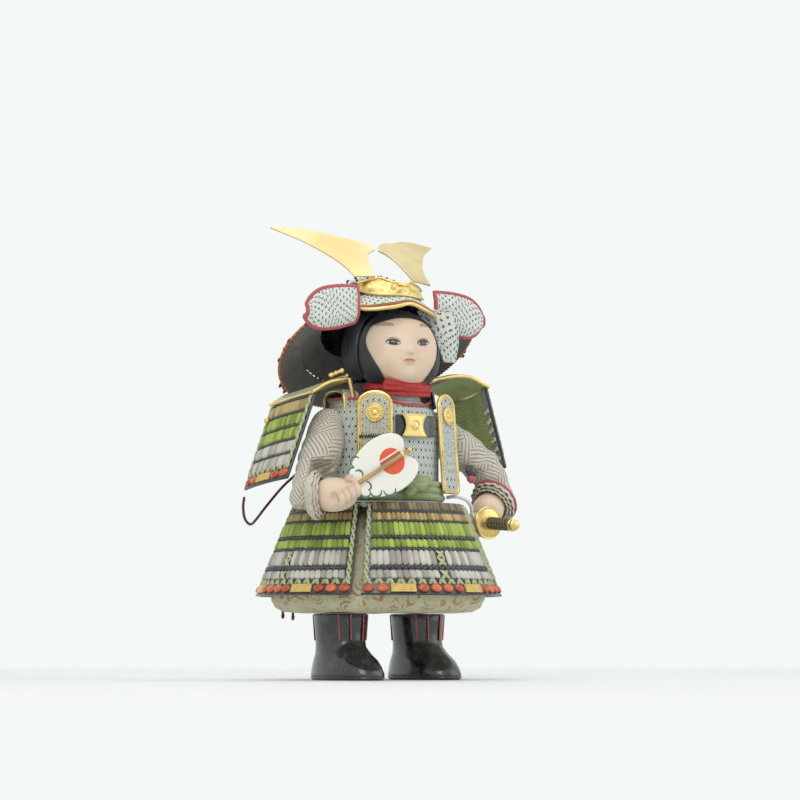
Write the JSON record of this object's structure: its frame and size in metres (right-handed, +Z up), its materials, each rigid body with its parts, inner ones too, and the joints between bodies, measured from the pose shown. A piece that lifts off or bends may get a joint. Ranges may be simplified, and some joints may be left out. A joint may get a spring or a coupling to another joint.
{
  "type": "samurai doll",
  "caption": "Standing child-warrior doll in laced samurai armour and a horned helmet, with an open war fan in its right hand and its left hand at the sword.",
  "frame": {"origin": "middle of the doll's footprint, on the surface it stands on", "axes": "+Z up, the doll faces -Y, +X towards its left hand"},
  "size_m": [0.1878, 0.1714, 0.3017],
  "materials": {
    "skin": "satin",
    "black_lacquer": "gloss",
    "hair": "satin",
    "gold": "polished",
    "pale_gold": "satin",
    "patterned_cloth": "matte",
    "green_lacing": "satin",
    "white_lacing": "satin",
    "bead_board": "satin",
    "sash_green": "matte",
    "brocade": "matte",
    "sleeve_cloth": "matte",
    "cuff_cloth": "matte",
    "red_cloth": "satin",
    "white_cloth": "matte",
    "cord_red": "satin",
    "fan_lacquer": "gloss",
    "fan_wood": "satin",
    "grip_wrap": "matte"
  },
  "bodies": {
    "root": {"back_bow": "cord_red", "back_cord_left": "cord_red", "back_cord_right": "cord_red", "chest_plaque": "gold", "chest_plate": "black_lacquer", "collar": "white_cloth", "cuirass": "patterned_cloth", "fan_blade": "fan_lacquer", "fan_shaft": "fan_wood", "hair": "hair", "hakama": "brocade", "head": "skin", "helmet_bowl": "black_lacquer", "helmet_finial": "gold", "helmet_visor": "patterned_cloth", "horn_plate": "gold", "left_boot": "black_lacquer", "left_chest_guard": "patterned_cloth", "left_cuff": "cuff_cloth", "left_hand": "skin", "left_horn": "pale_gold", "left_rosette": "gold", "left_shoulder_board": "bead_board", "left_shoulder_crown": "patterned_cloth", "left_shoulder_rows": "green_lacing", "left_sleeve": "sleeve_cloth", "left_turnback": "patterned_cloth", "neck_guard_lower": "patterned_cloth", "neck_guard_upper": "patterned_cloth", "neck_scarf": "red_cloth", "right_boot": "black_lacquer", "right_chest_guard": "patterned_cloth", "right_cuff": "cuff_cloth", "right_hand": "skin", "right_horn": "pale_gold", "right_rosette": "gold", "right_shoulder_board": "bead_board", "right_shoulder_crown": "patterned_cloth", "right_shoulder_rows": "green_lacing", "right_sleeve": "sleeve_cloth", "right_turnback": "patterned_cloth", "scabbard": "black_lacquer", "shoulder_cord": "cord_red", "skirt_back_board": "bead_board", "skirt_back_lower_rows": "white_lacing", "skirt_back_upper_rows": "green_lacing", "skirt_front_board": "bead_board", "skirt_front_lower_rows": "white_lacing", "skirt_front_upper_rows": "green_lacing", "skirt_left_board": "bead_board", "skirt_left_lower_rows": "white_lacing", "skirt_left_upper_rows": "green_lacing", "skirt_right_board": "bead_board", "skirt_right_lower_rows": "white_lacing", "skirt_right_upper_rows": "green_lacing", "sword_cord": "white_cloth", "sword_grip": "grip_wrap", "sword_guard": "gold", "sword_pommel": "gold", "waist_sash": "sash_green"}
  },
  "joints": []
}
